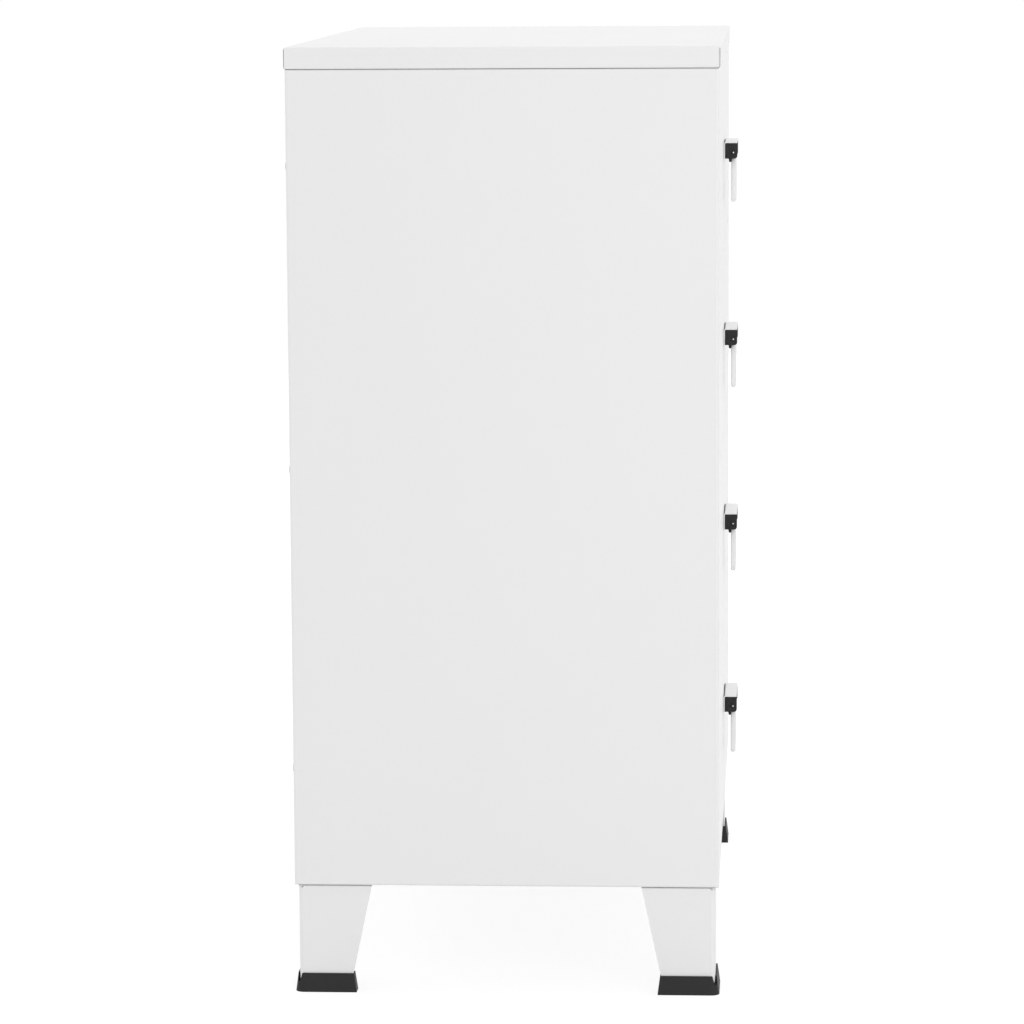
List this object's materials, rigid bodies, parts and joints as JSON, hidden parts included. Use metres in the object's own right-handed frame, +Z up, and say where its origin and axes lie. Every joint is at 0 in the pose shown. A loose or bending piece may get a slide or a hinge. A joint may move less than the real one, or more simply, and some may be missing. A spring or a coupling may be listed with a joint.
{
  "type": "drawer cabinet",
  "caption": "Tall white steel drawer cabinet with full-width drawers on telescopic runners, hanging bail handles and tapered corner legs in black shoes, for storage.",
  "frame": {"origin": "on the floor, at the middle of the whole cabinet's box, handles included", "axes": "+Z up, -Y towards the front, where the drawers open, +X to the right of someone facing the front"},
  "size_m": [0.78, 0.433, 0.93],
  "materials": {
    "white_powder_coat": "semi-gloss powder coat",
    "zinc_steel": "zinc plated",
    "black_plastic": "fine moulded grain"
  },
  "bodies": {
    "cabinet": {"top_panel": "white_powder_coat", "base_panel": "white_powder_coat", "back_panel": "white_powder_coat", "side_panel_left": "white_powder_coat", "side_panel_right": "white_powder_coat", "leg_left_front": "white_powder_coat", "leg_right_front": "white_powder_coat", "leg_left_rear": "white_powder_coat", "leg_right_rear": "white_powder_coat", "upright_left_front": "zinc_steel", "upright_right_front": "zinc_steel", "upright_left_rear": "zinc_steel", "upright_right_rear": "zinc_steel", "leg_bolts": "zinc_steel", "leg_nuts": "zinc_steel", "panel_screws": "zinc_steel", "shoe_left_front": "black_plastic", "shoe_right_front": "black_plastic", "shoe_left_rear": "black_plastic", "shoe_right_rear": "black_plastic", "runner_1_cabinet_channels": "zinc_steel", "runner_2_cabinet_channels": "zinc_steel", "runner_3_cabinet_channels": "zinc_steel", "runner_4_cabinet_channels": "zinc_steel"},
    "runner_1": {"runner_1_middle_channels": "zinc_steel"},
    "drawer_1": {"drawer_1_front": "white_powder_coat", "drawer_1_tray": "white_powder_coat", "drawer_1_channels": "zinc_steel", "handle_1_bracket": "white_powder_coat", "handle_1_blocks": "black_plastic", "handle_1_screws": "zinc_steel"},
    "bail_1": {"handle_1_bail": "white_powder_coat"},
    "runner_2": {"runner_2_middle_channels": "zinc_steel"},
    "drawer_2": {"drawer_2_front": "white_powder_coat", "drawer_2_tray": "white_powder_coat", "drawer_2_channels": "zinc_steel", "handle_2_bracket": "white_powder_coat", "handle_2_blocks": "black_plastic", "handle_2_screws": "zinc_steel"},
    "bail_2": {"handle_2_bail": "white_powder_coat"},
    "runner_3": {"runner_3_middle_channels": "zinc_steel"},
    "drawer_3": {"drawer_3_front": "white_powder_coat", "drawer_3_tray": "white_powder_coat", "drawer_3_channels": "zinc_steel", "handle_3_bracket": "white_powder_coat", "handle_3_blocks": "black_plastic", "handle_3_screws": "zinc_steel"},
    "bail_3": {"handle_3_bail": "white_powder_coat"},
    "runner_4": {"runner_4_middle_channels": "zinc_steel"},
    "drawer_4": {"drawer_4_front": "white_powder_coat", "drawer_4_tray": "white_powder_coat", "drawer_4_channels": "zinc_steel", "handle_4_bracket": "white_powder_coat", "handle_4_blocks": "black_plastic", "handle_4_screws": "zinc_steel"},
    "bail_4": {"handle_4_bail": "white_powder_coat"}
  },
  "joints": [
    {"name": "drawer_1_slide", "type": "slide", "parent": "cabinet", "child": "drawer_1", "axis": [0, -1, 0], "range_m": [0, 0.285]},
    {"name": "runner_1_slide", "type": "slide", "parent": "cabinet", "child": "runner_1", "axis": [0, -1, 0], "range_m": [0, 0.1425]},
    {"name": "bail_1_hinge", "type": "hinge", "parent": "drawer_1", "child": "bail_1", "pos_m": [0, -0.2125, 0.8094], "axis": [-1, 0, 0], "range_deg": [0, 90]},
    {"name": "drawer_2_slide", "type": "slide", "parent": "cabinet", "child": "drawer_2", "axis": [0, -1, 0], "range_m": [0, 0.285]},
    {"name": "runner_2_slide", "type": "slide", "parent": "cabinet", "child": "runner_2", "axis": [0, -1, 0], "range_m": [0, 0.1425]},
    {"name": "bail_2_hinge", "type": "hinge", "parent": "drawer_2", "child": "bail_2", "pos_m": [0, -0.2125, 0.6149], "axis": [-1, 0, 0], "range_deg": [0, 90]},
    {"name": "drawer_3_slide", "type": "slide", "parent": "cabinet", "child": "drawer_3", "axis": [0, -1, 0], "range_m": [0, 0.285]},
    {"name": "runner_3_slide", "type": "slide", "parent": "cabinet", "child": "runner_3", "axis": [0, -1, 0], "range_m": [0, 0.1425]},
    {"name": "bail_3_hinge", "type": "hinge", "parent": "drawer_3", "child": "bail_3", "pos_m": [0, -0.2125, 0.4204], "axis": [-1, 0, 0], "range_deg": [0, 90]},
    {"name": "drawer_4_slide", "type": "slide", "parent": "cabinet", "child": "drawer_4", "axis": [0, -1, 0], "range_m": [0, 0.285]},
    {"name": "runner_4_slide", "type": "slide", "parent": "cabinet", "child": "runner_4", "axis": [0, -1, 0], "range_m": [0, 0.1425]},
    {"name": "bail_4_hinge", "type": "hinge", "parent": "drawer_4", "child": "bail_4", "pos_m": [0, -0.2125, 0.2259], "axis": [-1, 0, 0], "range_deg": [0, 90]}
  ],
  "couplings": [
    {"joint": "runner_1_slide", "follows": "drawer_1_slide", "ratio": 0.5},
    {"joint": "runner_2_slide", "follows": "drawer_2_slide", "ratio": 0.5},
    {"joint": "runner_3_slide", "follows": "drawer_3_slide", "ratio": 0.5},
    {"joint": "runner_4_slide", "follows": "drawer_4_slide", "ratio": 0.5}
  ]
}
